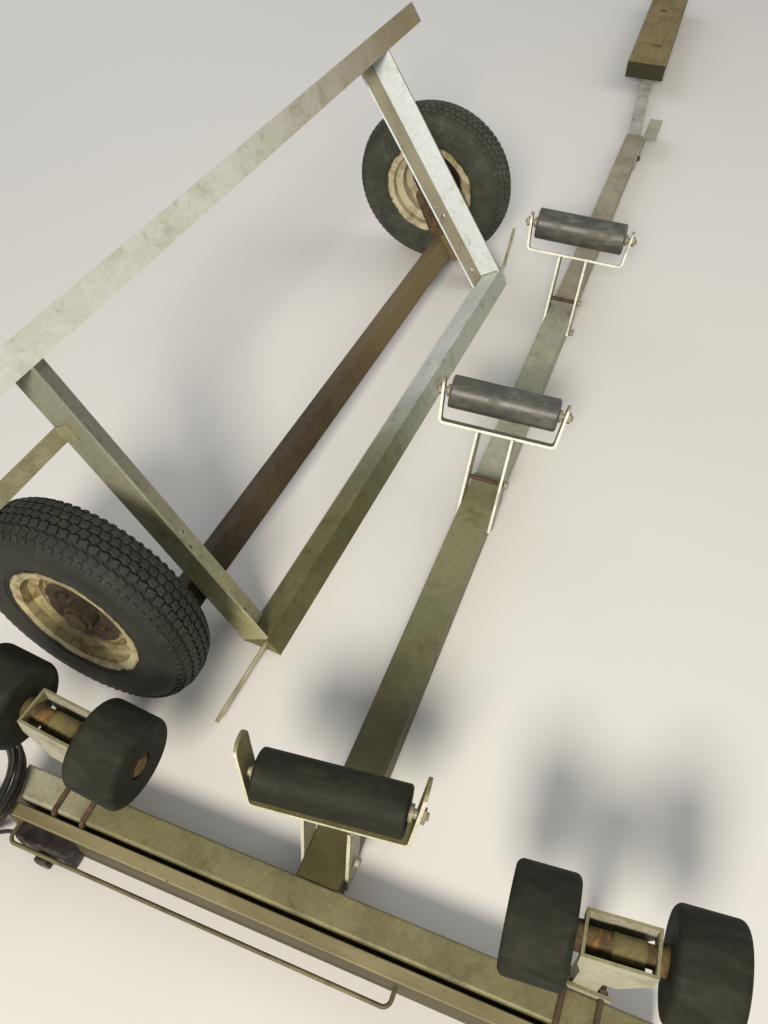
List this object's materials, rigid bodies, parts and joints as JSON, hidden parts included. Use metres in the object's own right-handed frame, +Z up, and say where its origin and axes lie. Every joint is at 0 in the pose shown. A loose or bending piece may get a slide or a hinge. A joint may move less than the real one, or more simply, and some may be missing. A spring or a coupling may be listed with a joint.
{
  "type": "boat trailer",
  "caption": "Old boat trailer taken apart: angle-iron road base with its wheels tipped on its lower rail, beside a telescoping keel frame with keel and bilge rollers.",
  "frame": {"origin": "on the floor, under the middle of the box of the whole trailer without its cable", "axes": "+X forward along the spine to the coupling, +Y to the left, +Z up"},
  "size_m": [5.1679, 1.51, 0.7132],
  "materials": {
    "galvanised_steel": "old dull zinc coat, grey-green with dirt and rust spots",
    "rusty_steel": "bare steel rusted dark brown",
    "rim_paint": "cream paint, rusted round the centre",
    "tyre_rubber": "weathered black rubber with fine cracks",
    "roller_rubber": "black moulded rubber with grey scuffs",
    "old_timber": "weathered greenish-yellow timber",
    "board_wood": "painted board, dirty and worn",
    "lamp_plastic": "faded red lens over a black back",
    "cable_sheath": "black cable",
    "coupling_casting": "grey casting with rust"
  },
  "bodies": {
    "trailer": {"axle_beam": "rusty_steel", "axle_pads": "rusty_steel", "base_leg_far": "galvanised_steel", "base_leg_near": "galvanised_steel", "base_rail_lower": "galvanised_steel", "base_rail_upper": "galvanised_steel", "bilge_bracket_left": "galvanised_steel", "bilge_bracket_right": "galvanised_steel", "board_rod": "rusty_steel", "cable_hank": "cable_sheath", "cable_plug": "cable_sheath", "cable_run": "cable_sheath", "cable_tail": "cable_sheath", "coupling_head": "coupling_casting", "coupling_lever": "coupling_casting", "cross_beam": "galvanised_steel", "drawbar": "galvanised_steel", "drawbar_timber": "old_timber", "keel_bracket_front": "galvanised_steel", "keel_bracket_middle": "galvanised_steel", "keel_bracket_rear": "galvanised_steel", "keel_pin_front": "rusty_steel", "keel_pin_middle": "rusty_steel", "keel_pin_rear": "rusty_steel", "lamp_left": "lamp_plastic", "lamp_right": "lamp_plastic", "lighting_board": "board_wood", "mudguard_stay": "galvanised_steel", "rail_rod": "rusty_steel", "spine_front": "galvanised_steel", "spine_middle": "galvanised_steel", "spine_rear": "galvanised_steel", "suspension_arm_far": "rusty_steel", "suspension_arm_near": "rusty_steel", "u_bolts_left": "rusty_steel", "u_bolts_right": "rusty_steel", "winch_bracket": "galvanised_steel"},
    "near_wheel": {"tyre_near": "tyre_rubber", "rim_near": "rim_paint", "hub_near": "rusty_steel"},
    "far_wheel": {"tyre_far": "tyre_rubber", "rim_far": "rim_paint", "hub_far": "rusty_steel"},
    "rear_keel_roller": {"keel_roller_rear": "roller_rubber"},
    "middle_keel_roller": {"keel_roller_middle": "roller_rubber"},
    "front_keel_roller": {"keel_roller_front": "roller_rubber"},
    "left_bilge_rollers": {"bilge_axle_left": "rusty_steel", "bilge_wheel_left_inner": "roller_rubber", "bilge_wheel_left_outer": "roller_rubber"},
    "right_bilge_rollers": {"bilge_axle_right": "rusty_steel", "bilge_wheel_right_inner": "roller_rubber", "bilge_wheel_right_outer": "roller_rubber"}
  },
  "joints": [
    {"name": "near_wheel_spin", "type": "hinge", "parent": "trailer", "child": "near_wheel", "pos_m": [-2.1088, 0.50089, 0.252], "axis": [0.9989, -0.0471, 0], "continuous": true},
    {"name": "far_wheel_spin", "type": "hinge", "parent": "trailer", "child": "far_wheel", "pos_m": [-0.29821, 0.41551, 0.252], "axis": [0.9989, -0.0471, 0], "continuous": true},
    {"name": "rear_keel_roller_spin", "type": "hinge", "parent": "trailer", "child": "rear_keel_roller", "pos_m": [-2.29419, -0.09503, 0.27287], "axis": [-0.1207, 0.9925, 0.017], "continuous": true},
    {"name": "middle_keel_roller_spin", "type": "hinge", "parent": "trailer", "child": "middle_keel_roller", "pos_m": [-1.27502, -0.09503, 0.27664], "axis": [-0.1154, 0.9903, 0.0778], "continuous": true},
    {"name": "front_keel_roller_spin", "type": "hinge", "parent": "trailer", "child": "front_keel_roller", "pos_m": [-0.46049, -0.09503, 0.27804], "axis": [-0.0755, 0.9962, 0.0436], "continuous": true},
    {"name": "left_bilge_rollers_spin", "type": "hinge", "parent": "trailer", "child": "left_bilge_rollers", "pos_m": [-2.35549, 0.38997, 0.275], "axis": [0.0696, 0.9951, 0.0698], "continuous": true},
    {"name": "right_bilge_rollers_spin", "type": "hinge", "parent": "trailer", "child": "right_bilge_rollers", "pos_m": [-2.35549, -0.58003, 0.275], "axis": [-0.0696, 0.9951, -0.0698], "continuous": true}
  ]
}
